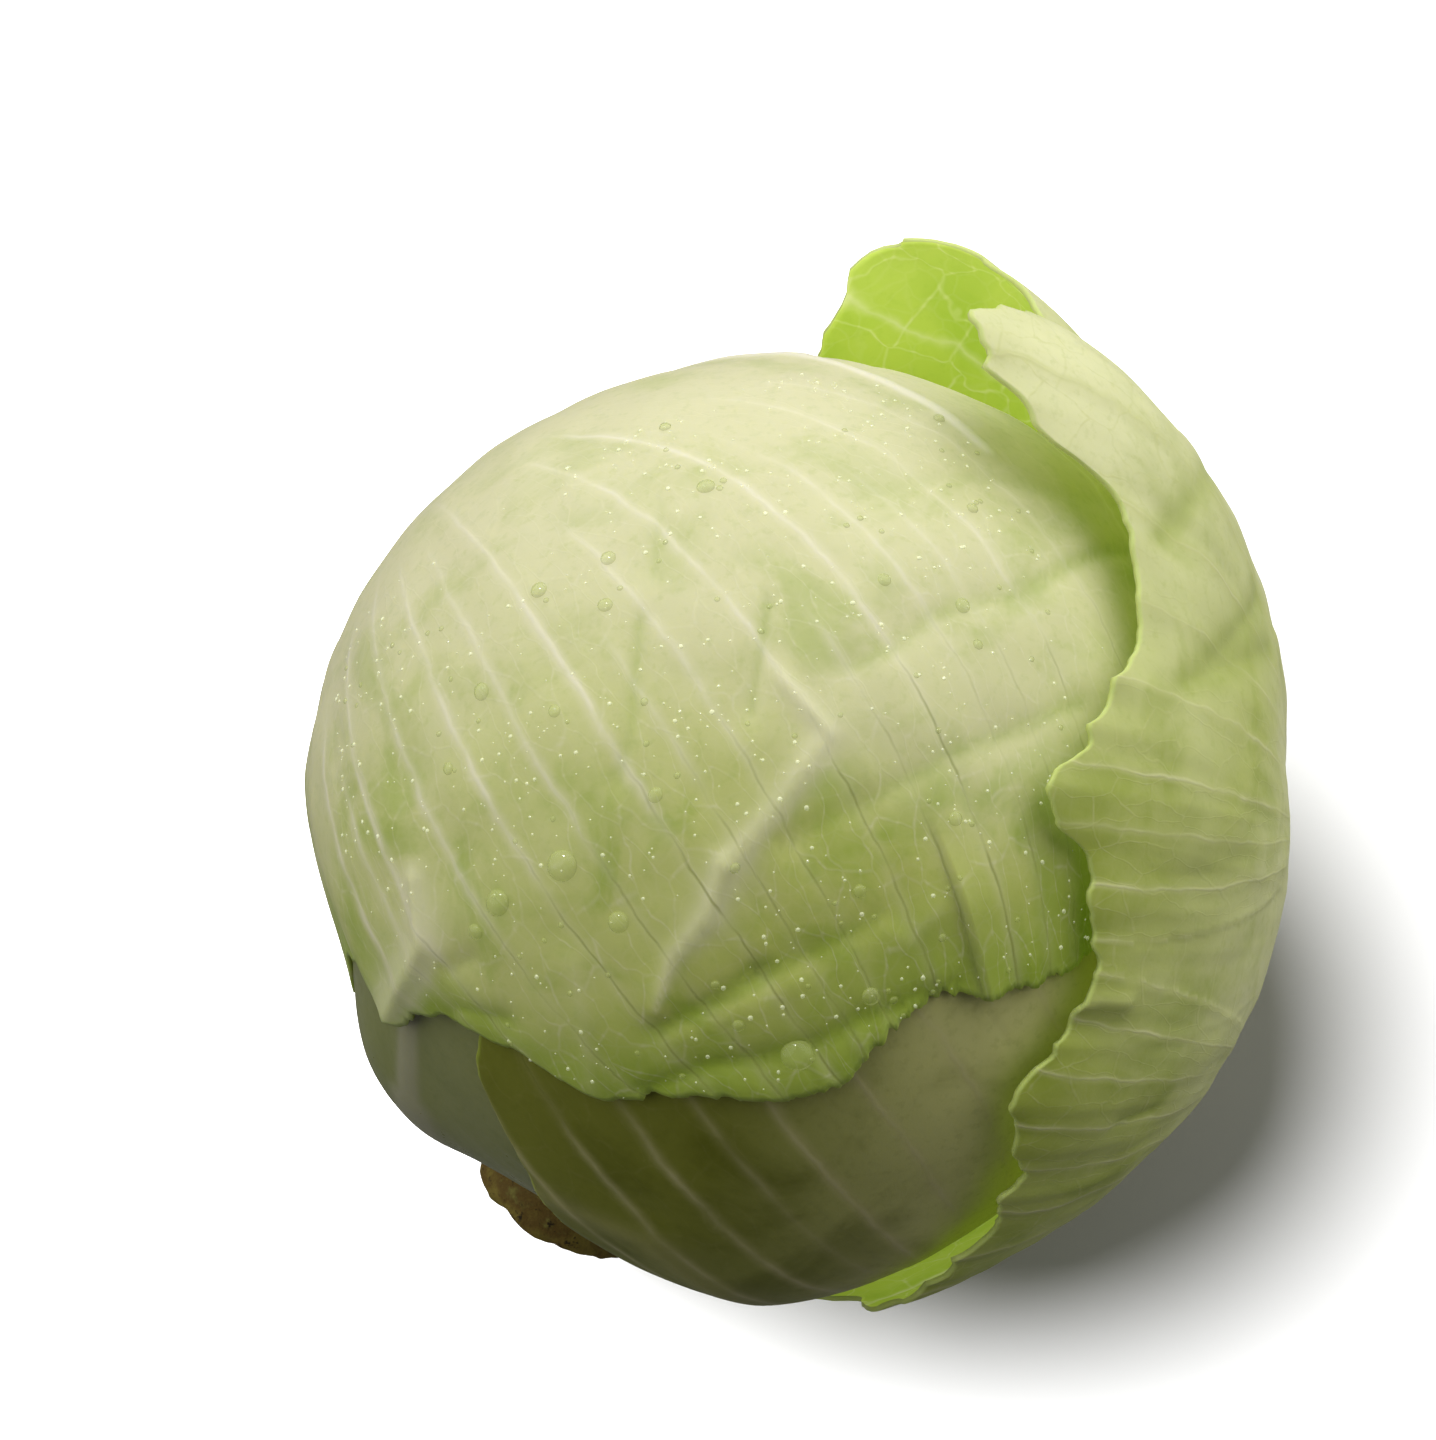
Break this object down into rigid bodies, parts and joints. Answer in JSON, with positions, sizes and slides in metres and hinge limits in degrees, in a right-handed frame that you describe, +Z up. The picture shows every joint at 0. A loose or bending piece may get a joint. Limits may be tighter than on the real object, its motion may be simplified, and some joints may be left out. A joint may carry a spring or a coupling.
{
  "type": "cabbage head",
  "caption": "Round green cabbage head lying on its side, with its cut stem, smooth wrapper leaves and one outer leaf standing open like a bowl.",
  "frame": {"origin": "middle of the flat spot under the outer leaf that the head rests on", "axes": "+Z up; the stem points down and forward to the left, towards -X and -Y, and the outer leaf opens on the +X side"},
  "size_m": [0.185, 0.2003, 0.174],
  "materials": {
    "stem": "matte",
    "heart": "satin",
    "outer_leaf": "satin",
    "cover_leaf": "satin",
    "front_leaf": "satin",
    "left_leaf": "satin",
    "inner_leaves": "satin",
    "dew": "gloss"
  },
  "bodies": {
    "root": {"stem": "stem", "heart": "heart", "outer_leaf": "outer_leaf", "cover_leaf": "cover_leaf", "front_leaf": "front_leaf", "left_leaf": "left_leaf", "back_leaf": "inner_leaves", "inner_leaf": "inner_leaves"}
  },
  "joints": []
}
